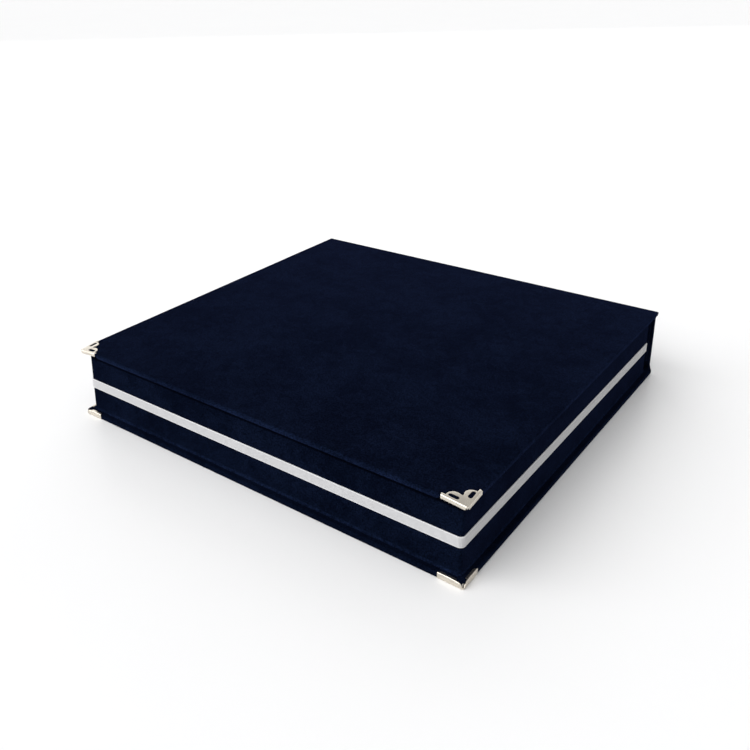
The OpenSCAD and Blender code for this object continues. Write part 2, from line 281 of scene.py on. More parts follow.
cover_velvet = velvet("cover_velvet", (0.0010, 0.0019, 0.0056), (0.0022, 0.0041, 0.0115),
                      (0.26, 0.35, 1.0), 0.04)
lining_velvet = velvet("lining_velvet", (0.0014, 0.0026, 0.0078), (0.0030, 0.0054, 0.0152),
                       (0.26, 0.35, 1.0), 0.05)
ribbon_mat = ribbon_weave("silver_ribbon", (0.33, 0.33, 0.34), (0.56, 0.56, 0.57))
nickel_mat = plated_metal("bright_nickel", (0.68, 0.63, 0.55), (0.25, 0.38), 0.25)
magnet_mat = plated_metal("magnet_plate", (0.62, 0.62, 0.64), (0.15, 0.3), 0.2)
steel_mat = plated_metal("steel_strip", (0.50, 0.50, 0.52), (0.28, 0.45), 0.4)
satin_mat = satin("pale_satin", (0.62, 0.60, 0.55), (0.68, 0.66, 0.61))
board_mat = board_or_foam("greyboard", (0.24, 0.22, 0.19), (0.42, 0.39, 0.34), 1400.0, 0.0002)
foam_mat = board_or_foam("dark_foam", (0.018, 0.018, 0.020), (0.05, 0.05, 0.055), 1100.0, 0.0005)


# ---- Mesh helpers ----

def raw_mesh(name, points, faces, material):
    """A mesh from points in millimetres."""
    mesh = bpy.data.meshes.new(name)
    mesh.from_pydata([tuple(float(c) * MM for c in p) for p in points], [], faces)
    mesh.materials.append(material)
    return mesh


def face_outward(mesh, weld=0.0, sliver=0.0):
    """Turns the faces outward, after near points are welded and slivers are dissolved."""
    bm = bmesh.new()
    bm.from_mesh(mesh)
    if weld:
        bmesh.ops.remove_doubles(bm, verts=bm.verts, dist=weld * MM)
        bmesh.ops.dissolve_degenerate(bm, edges=bm.edges, dist=sliver * MM)
    bmesh.ops.recalc_face_normals(bm, faces=bm.faces)
    bm.to_mesh(mesh)
    bm.free()


def smooth(mesh, sharp):
    """Shades a mesh smooth, except at edges sharper than this many degrees."""
    mesh.shade_smooth()
    mesh.set_sharp_from_angle(angle=math.radians(sharp))


def in_scene(name, data):
    """A new object in the scene for a mesh, a light or a camera."""
    made = bpy.data.objects.new(name, data)
    scene.collection.objects.link(made)
    return made


def mesh_piece(name, points, faces, material, body=None, sharp=60):
    """A closed piece from points in millimetres, which rides a body if one is named."""
    mesh = raw_mesh(name, points, faces, material)
    face_outward(mesh, weld=0.004, sliver=0.001)
    smooth(mesh, sharp)
    piece = in_scene(name, mesh)
    if body:
        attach(piece, body)
    return piece


def loft(rings, closed_path=False):
    """Points and faces of a skin over equal rings of points; a path's open ends are capped."""
    count, size = len(rings), len(rings[0])
    points = [p for ring in rings for p in ring]
    faces = []
    steps = count if closed_path else count - 1
    for i in range(steps):
        here, there = i * size, ((i + 1) % count) * size
        for k in range(size):
            m = (k + 1) % size
            faces.append((here + k, here + m, there + m, there + k))
    if not closed_path:
        faces.append(tuple(range(size)))
        faces.append(tuple((count - 1) * size + k for k in range(size)))
    return points, faces


def grid_rim(columns, rows):
    """Once round the outside of a grid of points that are numbered row by row."""
    rim = list(range(columns)) + [j * columns + columns - 1 for j in range(1, rows)]
    rim += [(rows - 1) * columns + i for i in range(columns - 2, -1, -1)]
    return rim + [j * columns for j in range(rows - 2, 0, -1)]


def apply_modifiers(piece):
    """Keeps what the modifiers make as the piece's own mesh."""
    graph = bpy.context.evaluated_depsgraph_get()
    made = bpy.data.meshes.new_from_object(piece.evaluated_get(graph))
    piece.modifiers.clear()
    piece.data = made


def smoothstep(t):
    """Eases from 0 to 1 as t goes from 0 to 1."""
    t = np.clip(t, 0.0, 1.0)
    return t * t * (3 - 2 * t)


def ripple(x, y, seed, wavelengths=(97.0, 61.0, 43.0)):
    """A soft, repeatable unevenness from -1 to 1 over a surface, x and y in millimetres."""
    phases = np.random.default_rng(seed).uniform(0, 2 * math.pi, (len(wavelengths), 3))
    total = 0.0
    for wavelength, (a, b, turn) in zip(wavelengths, phases):
        k = 2 * math.pi / wavelength
        total = total + math.sin(k * (x * math.cos(turn) + y * math.sin(turn)) + a) * math.cos(
            0.7 * k * (y * math.cos(turn) - x * math.sin(turn)) + b)
    return total / len(wavelengths)


def from_corner(x, y):
    """How far a plan point is from the nearer front corner: along an edge, and in from it."""
    u, v = case_x - abs(x), y - case_front
    return max(u, v), min(u, v)


def droop(x, y):
    """How far a knocked front corner hangs here: two slopes that meet on the diagonal."""
    along, into = from_corner(x, y)
    return corner_droop * max(0.0, 1 - along / droop_along) * max(0.0, 1 - into / droop_in)


def squeeze(x, y):
    """How far a metal corner presses the lid's lower face up here."""
    along, into = from_corner(x, y)
    edge_share = 0.88       # the droop at the metal's edge, as a share of the corner's
    hang = edge_share * corner_droop * max(0.0, 1 - along / droop_along)
    rise = case_top - hang - grip_h - hinge_at["lid_hinge"].z
    return rise * smoothstep((grip_along - along) / 2.2) * smoothstep((grip_in - into) / 3.0)


# Ways in from an edge at which a cover has rows or columns of points. Further in from the
# edge than even_from, they are evenly spaced.
edge_steps = (0.0, 0.8, 1.6, 2.6, 3.7, 4.8, 5.9, 7.4, 9.2, 11.4, 13.6, 15.0, 15.8, 16.6, 17.4)
even_from = 21.0


def across_case(half, columns=34):
    """Positions from -half to half, closer together beside both ends."""
    near = [half - step for step in edge_steps]
    even = list(np.linspace(even_from - half, half - even_from, columns))
    return [-x for x in near] + even + near[::-1]


def set_painted_light(piece, painted_light_at):
    """Stores the painted light at each point of a velvet piece: a painted highlight above 0,
    painted shade below 0.
    """
    values = [painted_light_at(*(vertex.co / MM)) for vertex in piece.data.vertices]
    piece.data.attributes.new("rim", "FLOAT", "POINT").data.foreach_set("value", values)


# ---- Covers: lid or bottom, the cloth hinge beside it, and half of the spine ----

def cover_stations():
    """The upper cover from its front edge over the hinge to the middle of the spine.
    Each station: outer point (y, z), outward normal, thickness, half width."""
    top = case_top - pile_inset
    front = case_front + pile_inset
    wide = case_x - pile_inset
    axis = hinge_at["lid_hinge"]
    outer_r = top - axis.z
    plan_r = 1.6                # the cover's corners, seen from above
    row_shift = 0.4             # the first rows start behind the rounded edge
    board_end = axis.y - 5.0
    cloth_from = axis.y - 2.2
    spine_wide = spine_half - pile_inset
    middle = case_top / 2
    stations = []

    def flat(y, thick, drop=0.0):
        into = min(y - front, plan_r)
        width = wide - plan_r + math.sqrt(max(0.0, plan_r ** 2 - (plan_r - into) ** 2))
        stations.append(((y, top - drop), (0.0, 1.0), thick, width))

    for turn in np.radians([0, 18, 36, 54, 72, 90]):
        thick = cover_t - 2 * edge_r * (1 - math.sin(turn))
        flat(front + edge_r * (1 - math.cos(turn)), thick, (cover_t - thick) / 2)
    for y in edge_steps[1:]:
        flat(front + row_shift + y, cover_t)
    for y in np.linspace(front + even_from, board_end - 4, 44):
        flat(y, cover_t)
    for y in np.linspace(board_end, cloth_from, 6):
        share = smoothstep((y - board_end) / (cloth_from - board_end))
        flat(y, cover_t + (hinge_cloth_t - cover_t) * share)
    for turn in np.radians(np.linspace(90, 0, 11)):
        out = (math.cos(turn), math.sin(turn))
        share = smoothstep((1 - turn / (math.pi / 2) - 0.3) / 1.1)
        stations.append(((axis.y + outer_r * out[0], axis.z + outer_r * out[1]), out,
                         hinge_cloth_t, wide + (spine_wide - wide) * share))
    narrow_at = stations[-1][3]
    outer_y = axis.y + outer_r
    # Ways down from the hinge line, closer together where the cloth meets the spine.
    below = (0.6, 1.2, 1.8, 2.2, 2.6, 2.9, 3.2, 3.8, 5, 7, 10, 13, 16, 19, axis.z - middle)
    for z in [axis.z - step for step in below]:
        grown = smoothstep((axis.z - 1.0 - z) / 2.1)
        slimmed = smoothstep((axis.z - z) / 2.6)
        thick = hinge_cloth_t + (cover_t - hinge_cloth_t) * grown
        width = narrow_at + (spine_wide - narrow_at) * slimmed
        stations.append(((outer_y, z), (1.0, 0.0), thick, width))
    return stations


def slab_ring(outer, normal, thick, wide):
    """One ring across the case: outer face, rounded side, inner face, rounded side."""
    r = min(edge_r, 0.48 * thick)
    rows = [(x, 0.0) for x in across_case(wide - r)]
    arcs = np.radians([22, 45, 68])
    rows += [(wide - r + r * math.sin(a), r - r * math.cos(a)) for a in arcs]
    rows += [(wide, r), (wide, thick - r)]
    rows += [(wide - r + r * math.cos(a), thick - r + r * math.sin(a)) for a in arcs]
    half = len(rows)
    rows += [(-x, thick - depth) for x, depth in rows[:half]]
    return [(x, outer[0] - normal[0] * depth, outer[1] - normal[1] * depth)
            for x, depth in rows]


def lid_painted_light(x, y, z):
    """Painted light on the lid's edge: a painted highlight low on its edge faces and along its top
    edge, and painted shade in the turn below them, where the lid shades the gap over the walls.
    """
    edge_w = 0.9            # the tone has faded out this far in from the edge
    from_edge = from_corner(x, y)[1] - pile_inset
    # Painted light up the lid's edge: painted shade in the lower turn, then a painted highlight on
    # the edge face that fades towards the top.
    painted_edge_light = np.interp((z - lid_under) / cover_t, [0.0, 0.1, 0.19, 0.81, 1.0],
                          [-0.9, -0.6, 1.3, 0.7, 0.5])
    on_lid = 1.0 if z > lid_under - 0.1 else 0.0
    return on_lid * smoothstep(1 - from_edge / edge_w) * float(painted_edge_light)


def cover_piece(name, upper, seed):
    """The velvet skin of a cover. The bottom cover is the lid turned over, middle to middle."""
    flat_to = hinge_at["lid_hinge"].y - 8
    shaped = []
    for station in cover_stations():
        row = []
        for x, y, z in slab_ring(*station):
            away = min(1.0, max(0.0, (flat_to - y) / 30))
            outer_share = min(1.0, max(0.0, (z - lid_under) / cover_t))
            z += pile_swell * (1 + ripple(x, y, seed)) * away * outer_share
            if upper:
                z += squeeze(x, y) * (1 - outer_share) - droop(x, y) * outer_share
            row.append((x, y, z if upper else case_top - z))
        shaped.append(row)
    points, faces = loft(shaped)
    piece = mesh_piece(name, points, faces, cover_velvet)
    if upper:
        # Paints a highlight on the lid's edge faces and shade in the turn below them.
        set_painted_light(piece, lid_painted_light)
    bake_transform(piece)
    return piece


lid_cover = cover_piece("lid_velvet_skin", upper=True, seed=3)
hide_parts("lid_velvet", "upper_hinge_cloth", "spine_velvet")
base_cover = cover_piece("bottom_velvet_skin", upper=False, seed=11)
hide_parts("bottom_velvet", "lower_hinge_cloth")


def lid_board_piece():
    """The lid's greyboard, pressed in a little at the knocked corners, pocketed for the steel."""
    low, high = box_mm("lid_board")
    middle_y, half_y = (low.y + high.y) / 2, (high.y - low.y) / 2
    columns = across_case(high.x)
    rings = []
    for y in across_case(half_y):
        y += middle_y
        ring = [(x, y, high.z - droop(x, y)) for x in columns]
        rings.append(ring + [(x, y, low.z + squeeze(x, y)) for x in reversed(columns)])
    points, faces = loft(rings)
    piece = mesh_piece("lid_board_core", points, faces, board_mat, sharp=30)
    for word in ("left", "right"):
        pocket = piece.modifiers.new("pocket_" + word, "BOOLEAN")
        pocket.operation = "DIFFERENCE"
        pocket.object = frame["nodes"]["keeper_" + word]
    apply_modifiers(piece)
    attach(piece, "lid")
    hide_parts("lid_board")


lid_board_piece()


# ---- Walls and ribbon ----

def corner_path(step=9.0, rear=True):
    """Stations round the walls from the rear left corner over the front to the rear right, and
    on along the rear where it is asked for. Each station: corner centre or point, outward
    direction, corner radius, and which corner it is."""
    left, front, back = wall_low.x, wall_low.y, wall_high.y
    stations = []

    def arc(sx, sy, r, start, end, count):
        centre = (sx * (wall_high.x - r), (front + r) if sy < 0 else (back - r))
        for a in np.radians(np.linspace(start, end, count)):
            stations.append((centre, (math.cos(a), math.sin(a)), r, (sx, sy)))

    def run(a, b, out):
        count = max(2, int(math.hypot(b[0] - a[0], b[1] - a[1]) / step))
        for t in np.linspace(0, 1, count)[1:-1]:
            point = (a[0] + (b[0] - a[0]) * t, a[1] + (b[1] - a[1]) * t)
            stations.append((point, out, 0.0, None))

    right = -left
    if rear:
        arc(-1, 1, rear_r, 90, 180, 7)
    else:
        stations.append(((left, back - rear_r), (-1, 0), 0.0, None))
    run((left, back - rear_r), (left, front + front_r), (-1, 0))
    arc(-1, -1, front_r, 180, 270, 13)
    run((left + front_r, front), (right - front_r, front), (0, -1))
    arc(1, -1, front_r, 270, 360, 13)
    run((right, front + front_r), (right, back - rear_r), (1, 0))
    if rear:
        arc(1, 1, rear_r, 0, 90, 7)
        run((right - rear_r, back), (left + rear_r, back), (0, 1))
    else:
        stations.append(((right, back - rear_r), (1, 0), 0.0, None))
    return stations


def at_depth(station, depth):
    """The plan point this far inside the wall's outer face."""
    centre, out, r, sign = station
    if sign is None:
        return centre[0] - out[0] * depth, centre[1] - out[1] * depth
    if depth <= r:
        return centre[0] + out[0] * (r - depth), centre[1] + out[1] * (r - depth)
    return centre[0] - sign[0] * (depth - r), centre[1] - sign[1] * (depth - r)


def wall_profile():
    """Section of a wrapped wall as (depth, z): up the outer face, over the top and down."""
    top, foot = wall_high.z, wall_low.z - 0.35
    r = 1.2
    points = [(-0.42, foot), (-0.5, foot + 0.45), (-0.36, foot + 0.95), (-0.1, foot + 1.4),
              (0.0, foot + 2.0)]
    # Up the outer face, in steps that are closer together near the lid.
    points += [(0.0, z) for z in (9.0, 14.0, 19.0, 24.0, 29.0, 34.0, 39.0, 41.9, 42.5, 43.1, 43.8)]
    for a in np.radians([0, 22, 45, 68, 90]):
        points.append((r - r * math.cos(a), top - r + r * math.sin(a)))
    for a in np.radians([90, 68, 45, 22, 0]):
        points.append((wall_t - r + r * math.cos(a), top - r + r * math.sin(a)))
    points += [(wall_t, 38.0), (wall_t, wall_low.z + 0.7), (wall_t, foot)]
    return points


def wall_piece():
    """The velvet round the four walls, swelling softly between its foot and its top."""
    rings = []
    for station in corner_path():
        ring = []
        for depth, z in wall_profile():
            x, y = at_depth(station, depth)
            rise = smoothstep((z - 6) / 8) * smoothstep((45 - z) / 6)
            swell = wall_swell * ripple(x + y, z * 2, 5) * rise if depth <= 0 else 0.0
            ring.append((x + station[1][0] * swell, y + station[1][1] * swell, z))
        rings.append(ring)
    points, faces = loft(rings, closed_path=True)
    return mesh_piece("wall_velvet_skin", points, faces, cover_velvet, "base")


def wall_painted_light(x, y, z):
    """Painted light on the walls: a painted highlight in a lighter line along their foot, and
    painted shade in a darker line along their top, where the shut lid's edge shades them."""
    foot_h, lid_shade_h, fade = 1.9, 3.7, 0.9
    # Painted shade: a darker line along the top of the walls, under the lid's edge.
    painted_lid_shade = smoothstep((z - (wall_high.z - lid_shade_h)) / fade)
    return smoothstep((wall_low.z + foot_h - z) / fade) - 0.75 * painted_lid_shade


walls = wall_piece()
# Paints a highlight along the foot of the walls and shade along their top.
set_painted_light(walls, wall_painted_light)
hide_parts("wall_velvet")


def ribbon_section():
    """Section of the ribbon as (height out of the wall, share across), selvedges thicker."""
    outer = [(section_t, s) for s in np.linspace(-0.8, 0.8, 7)]
    low_edge = [(0.0, -1.0), (0.28, -1.0), (0.52, -0.96), (0.58, -0.90), (0.53, -0.85)]
    high_edge = [(h, -s) for h, s in reversed(low_edge)]
    return low_edge + outer + high_edge


def woven_piece(name, rings, along, across):
    """A ribbon's skin over its rings, with the way along it and the share across it."""
    points, faces = loft(rings)
    mesh = raw_mesh(name, points, faces, ribbon_mat)
    for key, values in (("along", along), ("across", across)):
        mesh.attributes.new(key, "FLOAT", "POINT").data.foreach_set("value", values)
    face_outward(mesh)
    smooth(mesh, 60)
    piece = in_scene(name, mesh)
    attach(piece, "base")
    return piece


def ribbon_piece():
    """The ribbon from the rear left corner round the front to the rear right corner."""
    middle, half = (ribbon_low.z + ribbon_high.z) / 2, (ribbon_high.z - ribbon_low.z) / 2
    rings, along, across = [], [], []
    travelled, last = 0.0, None
    for station in corner_path(step=3.0, rear=False):
        here = at_depth(station, -0.25)
        travelled += 0.0 if last is None else math.dist(last, here)
        last = here
        # It wanders a little up and down, as a glued ribbon does.
        drift = 0.10 * math.sin(travelled / 71.0) + 0.06 * math.sin(travelled / 23.0 + 1.0)
        ring = []
        for height, share in ribbon_section():
            x, y = at_depth(station, -(height + 0.06))
            ring.append((x, y, middle + drift + share * half))
            along.append(travelled * MM)
            across.append(share)
        rings.append(ring)
    return woven_piece("ribbon_skin", rings, along, across)


ribbon = ribbon_piece()
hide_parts("ribbon_band")


# ---- Metal corner protectors ----

metal_t = 0.35                                  # sheet metal
metal_h = case_top - hinge_at["lid_hinge"].z    # height of a bottom corner's edge
leg_l = 15.3                                    # reach along each edge of the cover
tip_w = 1.5                                     # width at the end of a leg
corner_r = 1.1                                  # corner, seen from above
lobe_u, lobe_v, lobe_r = 9.1, 2.5, 3.9          # a round lobe on each leg
slot_l, slot_w = 5.9, 2.3                       # the slot in it
notch = 5.8                                     # where the lobes meet on the diagonal
lip_w = 1.8                                     # the edge turned in over the cover's inner face
lip_bend_r = 0.4
dimple_at, dimple_r, dimple_depth = 1.45, 0.5, 0.35


def profile(step, bend_r, height):
    """The sheet's section: 0 to 1 is the bend at the plate, 1 to 2 the flange, 2 to 3 the bend
    into the lip, 3 to 4 the lip. Gives the way in from the edge and down from the plate."""
    flange_l = height - bend_r - lip_bend_r
    if step <= 1:
        turn = step * math.pi / 2
        return bend_r * (1 - math.sin(turn)), bend_r * (1 - math.cos(turn))
    if step <= 2:
        return 0.0, bend_r + (step - 1) * flange_l
    turn = min(step - 2, 1.0) * math.pi / 2
    into = lip_bend_r * (1 - math.cos(turn)) + max(0.0, step - 3) * (lip_w - lip_bend_r)
    return into, bend_r + flange_l + lip_bend_r * math.sin(turn)


def sheet_reach(away):
    """The last step of the section, at a way from the middle of the corner. Only a low rim
    runs round the corner; a flange stands on each side of the slit and grows a lip; the
    legs end round."""
    reach = np.interp(away, [0.8, 1.15, 1.4, 4.4], [1.25, 2.0, 2.05, 4.0])
    round_from, round_l = leg_l - 2.6, 2.2
    past = min(1.0, max(0.0, (away - round_from) / round_l))
    return min(reach, 1.5 + 2.5 * math.sqrt(1 - past ** 2))


def edge_stations():
    """Along the protector's outer edge, leg to leg: point, inward direction, and way from the
    middle of the corner."""
    straight = list(np.arange(leg_l - 0.4, 4.0, -0.45)) + list(np.linspace(4.0, corner_r, 14))
    arc_half = corner_r * math.pi / 4
    one = [((u, 0.0), (0.0, 1.0), u - corner_r + arc_half) for u in straight]
    turn = []
    for a in np.radians(np.linspace(270, 180, 13))[1:-1]:
        point = (corner_r * (1 + math.cos(a)), corner_r * (1 + math.sin(a)))
        turn.append((point, (-math.cos(a), -math.sin(a)), corner_r * abs(a - math.radians(225))))
    other = [((0.0, p[0]), (1.0, 0.0), way) for p, d, way in reversed(one)]
    return one + turn + other


def half_outline():
    """The plate's inner outline over one leg, from the end of the leg to the notch."""
    points = [(leg_l - 0.05, 1.05), (leg_l - 0.1, tip_w), (leg_l - 0.35, tip_w + 0.12)]
    for a in np.radians(np.linspace(-12, 118, 19)):
        points.append((lobe_u + lobe_r * math.cos(a), lobe_v + lobe_r * math.sin(a)))
    return points


def slot_outline():
    """The slot with round ends that is cut in a lobe."""
    centre, r = (lobe_u, lobe_v + 0.2), slot_w / 2
    points = []
    for side in (1, -1):
        for a in np.radians(np.linspace(-90, 90, 9)):
            points.append((centre[0] + side * ((slot_l - slot_w) / 2 + r * math.cos(a)),
                           centre[1] + side * r * math.sin(a)))
    return points


def swap(points):
    """The same points on the other leg, mirrored in the diagonal."""
    return [(v, u) for u, v in points]


def inside(point, outline):
    """Whether a point lies in a closed outline, by counting crossings."""
    x, y = point
    hit = False
    for (ax, ay), (bx, by) in zip(outline, outline[1:] + outline[:1]):
        if (ay > y) != (by > y) and x < ax + (y - ay) / (by - ay) * (bx - ax):
            hit = not hit
    return hit


def plate_sheet(stations, bend_r):
    """Flat triangles of the plate with its slots cut out, in rows beside the rim and parted
    along the diagonal, and their points."""
    rim = [(p[0] + d[0] * bend_r, p[1] + d[1] * bend_r) for p, d, way in stations]
    half = half_outline()
    outer = rim + swap(half) + [(notch, notch)] + half[::-1]
    holes = [slot_outline(), swap(slot_outline())]
    rows = [bend_r + step for step in (0.3, 0.65, 1.05, 1.5)]
    rows += list(np.arange(bend_r + 2.0, notch + 2, 0.5))
    ways = [p[0] for p, d, way in stations if p[0] > corner_r]
    seeds = [(u, v) for v in rows for u in ways if u > v + 0.3]
    seeds += [(dimple_at + r * math.cos(a), dimple_at + r * math.sin(a))
              for r in (0.2, 0.4, 0.6) for a in np.radians([0, 24, 66, 90])]
    seeds += swap([s for s in seeds if s[0] > s[1]])
    clear = 0.2
    around = [(clear, 0), (-clear, 0), (0, clear), (0, -clear)]

    def open_at(point):
        return inside(point, outer) and not any(inside(point, h) for h in holes)

    seeds = [s for s in seeds if all(open_at((s[0] + a, s[1] + b)) for a, b in around)]
    points, edges = [], []
    for loop in [outer] + holes:
        start = len(points)
        points += loop
        edges += [(start + i, start + (i + 1) % len(loop)) for i in range(len(loop))]
    start, fold_from = len(points), len(rim) // 2
    fold = np.linspace(rim[fold_from][0] + 0.3, notch - 0.3, 13)
    points += [(s, s) for s in fold]
    chain = [fold_from] + list(range(start, start + len(fold))) + [len(rim) + len(half)]
    edges += list(zip(chain, chain[1:]))
    made = delaunay_2d_cdt([Vector(p) for p in points + seeds], edges, [], 0, 1e-5)
    flat = made[0]
    kept = [tuple(t) for t in made[2]
            if open_at(sum((flat[i] for i in t), Vector((0, 0))) / len(t))]
    return flat, kept


def protector_piece(name, side, upper, body):
    """A bent sheet-metal corner: a plate with two lobes, and its rim, flanges and lips."""
    bend_r = 0.6 if upper else 0.9
    stations = edge_stations()
    flat, triangles = plate_sheet(stations, bend_r)

    def plate_drop(u, v):
        hang = droop(case_x - u, case_front + v)
        from_dimple = math.hypot(u - dimple_at, v - dimple_at)
        return hang + dimple_depth * smoothstep(1 - from_dimple / dimple_r) if upper else 0.0

    sheet = [(u, v, plate_drop(u, v)) for u, v in flat]
    faces = list(triangles)
    steps = list(np.linspace(0, 1, 8)) + list(np.linspace(1, 2, 6)[1:])
    steps += list(np.linspace(2, 3, 5)[1:]) + [3.3, 3.7, 4.0]
    for i, (point, inward, way) in enumerate(stations):
        reach = sheet_reach(way)
        height = grip_h if upper else metal_h - 0.6 + 0.6 * smoothstep(way / 9)
        drop = plate_drop(point[0] + inward[0] * bend_r, point[1] + inward[1] * bend_r)
        for step in steps:
            into, down = profile(min(step, reach), bend_r, height)
            sheet.append((point[0] + inward[0] * into, point[1] + inward[1] * into, drop + down))
        if i:
            last = len(sheet) - 2 * len(steps)
            here = last + len(steps)
            faces += [(last + k, last + k + 1, here + k + 1, here + k)
                      for k in range(len(steps) - 1)]
    points = []
    for u, v, down in sheet:
        z = case_top - down if upper else down
        points.append((side * (case_x - u), case_front + v, z))
    mesh = raw_mesh(name, points, faces, nickel_mat)
    bm = bmesh.new()
    bm.from_mesh(mesh)
    bmesh.ops.remove_doubles(bm, verts=bm.verts, dist=0.01 * MM)
    bmesh.ops.dissolve_degenerate(bm, edges=bm.edges, dist=0.004 * MM)
    bmesh.ops.recalc_face_normals(bm, faces=bm.faces)
    facing = sum(f.normal.z * f.calc_area() for f in bm.faces
                 if abs(f.calc_center_median().z - (case_top if upper else 0) * MM) < 1.6 * MM)
    if (facing > 0) != upper:
        bmesh.ops.reverse_faces(bm, faces=bm.faces)
    bm.to_mesh(mesh)
    bm.free()
    piece = in_scene(name, mesh)
    thick = piece.modifiers.new("sheet", "SOLIDIFY")
    thick.thickness, thick.offset = metal_t * MM, -1.0
    bevel = piece.modifiers.new("edge", "BEVEL")
    bevel.width, bevel.segments, bevel.angle_limit = 0.08 * MM, 2, math.radians(50)
    apply_modifiers(piece)
    smooth(piece.data, 35)
    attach(piece, body)
    return piece


for upper, level, body in ((True, "top", "lid"), (False, "bottom", "base")):
    for side, word in ((-1, "left"), (1, "right")):
        corner = protector_piece(f"{level}_corner_{word}_metal", side, upper, body)
        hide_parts(f"{level}_corner_{word}")


# ---- Coin tray ----

divider_top_r, frame_top_r = 1.15, 1.5


def bar_piece(node, along_x, top_r):
    """A velvet-wrapped strip over a CAD bar, its top edges rounded."""
    low, high = box_mm(node)
    wide = (high.y - low.y if along_x else high.x - low.x) / 2
    r = min(top_r, wide * 0.96)
    section = [(-wide, low.z), (-wide, (low.z + high.z - r) / 2), (-wide, high.z - r)]
    section += [(-wide + r - r * math.cos(a), high.z - r + r * math.sin(a))
                for a in np.radians([22, 45, 68, 90])]
    section += [(-s, z) for s, z in reversed(section)]
    if along_x:
        start, end, middle = low.x, high.x, (low.y + high.y) / 2
    else:
        start, end, middle = low.y, high.y, (low.x + high.x) / 2
    rings = []
    for t in np.linspace(start, end, 40):
        bow = 0.07 * math.sin(t / 17.0 + middle)
        ring = []
        for s, z in section:
            soft = 0.05 * math.sin(t / 9.0 + middle * 0.3) if z > low.z + 1 else 0.0
            s = s + bow * (z - low.z) / (high.z - low.z)
            ring.append((t, middle + s, z + soft) if along_x else (middle + s, t, z + soft))
        rings.append(ring)
    points, faces = loft(rings)
    body = frame["nodes"][node]["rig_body"]
    piece = mesh_piece(node + "_velvet", points, faces, lining_velvet, body)
    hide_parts(node)


for node in sorted(frame["nodes"]):
    if node.startswith("row_divider"):
        bar_piece(node, True, divider_top_r)
    elif node.startswith("column_divider"):
        bar_piece(node, False, divider_top_r)
    elif node in ("tray_frame_front", "tray_frame_rear"):
        bar_piece(node, True, frame_top_r)
    elif node in ("tray_frame_left", "tray_frame_right"):
        bar_piece(node, False, frame_top_r)


def island_boxes(node):
    """The boxes of a CAD node's separate solids, in millimetres, front row first."""
    bm = bmesh.new()
    bm.from_mesh(frame["nodes"][node].data)
    bmesh.ops.remove_doubles(bm, verts=bm.verts, dist=0.001 * MM)
    seen, boxes = set(), []
    for start in bm.verts:
        if start.index in seen:
            continue
        stack, group = [start], []
        seen.add(start.index)
        while stack:
            vertex = stack.pop()
            group.append(vertex.co / MM)
            for edge in vertex.link_edges:
                other = edge.other_vert(vertex)
                if other.index not in seen:
                    seen.add(other.index)
                    stack.append(other)
        boxes.append((Vector(map(min, zip(*group))), Vector(map(max, zip(*group)))))
    bm.free()
    return sorted(boxes, key=lambda b: (round(b[0].y), round(b[0].x)))


def pad_points(low, high, cells, crown, pull, seed):
    """A crowned pad on a flat base: its sides pull in between the corners."""
    middle, half = (low + high) / 2, (high - low) / 2
    points, faces = [], []
    shares = np.sin(np.linspace(-math.pi / 2, math.pi / 2, cells))
    edge_z = low.z + 0.35 * (high.z - low.z)
    for level in ("top", "base"):
        for v in shares:
            for u in shares:
                x = middle.x + u * (half.x - pull * (1 - v * v))
                y = middle.y + v * (half.y - pull * (1 - u * u))
                dome = (1 - abs(u) ** 5) * (1 - abs(v) ** 5)
                z = edge_z + (high.z - edge_z + crown) * dome ** 0.6
                z += 0.12 * dome * ripple(x, y, seed, (31.0, 19.0, 13.0))
                points.append((x, y, z if level == "top" else low.z))
    count = cells * cells
    for j in range(cells - 1):
        for i in range(cells - 1):
            a = j * cells + i
            quad = (a, a + 1, a + cells + 1, a + cells)
            faces += [quad, tuple(count + k for k in reversed(quad))]
    rim = grid_rim(cells, cells)
    for a, b in zip(rim, rim[1:] + rim[:1]):
        faces.append((a, count + a, count + b, b))
    return points, faces


def coin_pads_piece():
    """One soft pad in each compartment, and no two quite alike."""
    points, faces = [], []
    for index, (low, high) in enumerate(island_boxes("coin_pads")):
        more, quads = pad_points(low, high, cells=19, crown=0.5, pull=0.05, seed=100 + index)
        faces += [tuple(len(points) + k for k in q) for q in quads]
        points += more
    piece = mesh_piece("coin_pads_soft", points, faces, lining_velvet, "base", sharp=70)
    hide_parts("coin_pads")


coin_pads_piece()


# ---- Lift tabs ----

def strip_piece(name, path, half_width, thick, mid_y):
    """A flat ribbon along a path of (x, z) points, and how long it is."""
    rings, along, across = [], [], []
    travelled = 0.0
    for i, (x, z) in enumerate(path):
        before, after = path[max(0, i - 1)], path[min(len(path) - 1, i + 1)]
        tangent = Vector((after[0] - before[0], after[1] - before[1])).normalized()
        normal = Vector((-tangent.y, tangent.x))
        travelled += 0.0 if i == 0 else math.dist(path[i - 1], (x, z))
        ring = []
        for height, share in ribbon_section():
            h = height / section_t * thick - thick / 2
            ring.append((x + normal.x * h, mid_y + share * half_width, z + normal.y * h))
            along.append(travelled * MM)
            across.append(share)
        rings.append(ring)
    return woven_piece(name, rings, along, across), travelled


def lift_tab_piece(side, word):
    """A ribbon tab that comes up inside the tray's frame and bends over its top."""
    low, high = box_mm(f"lift_tab_{word}")
    outer = high.x if side > 0 else -low.x
    inner = low.x if side > 0 else -high.x
    line = outer - 0.25
    top = high.z - 0.2
    turn_r = 0.9
    path = [(line, z) for z in np.linspace(low.z, top - turn_r, 6)]
    path += [(line - turn_r + turn_r * math.cos(a), top - turn_r + turn_r * math.sin(a))
             for a in np.radians([22, 45, 68, 90])]
    path += [(x, top - 0.5 * smoothstep((line - 4.5 - x) / 6))
             for x in np.linspace(line - 2.2, inner + 0.2, 8)]
    path = [(side * x, z) for x, z in path]
    tab, tab_length = strip_piece(f"lift_tab_{word}_ribbon", path, (high.y - low.y) / 2,
                                  thick=0.3, mid_y=(low.y + high.y) / 2)
    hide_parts(f"lift_tab_{word}")


for side, word in ((-1, "left"), (1, "right")):
    lift_tab_piece(side, word)


# ---- Linings of the lid and the spine ----

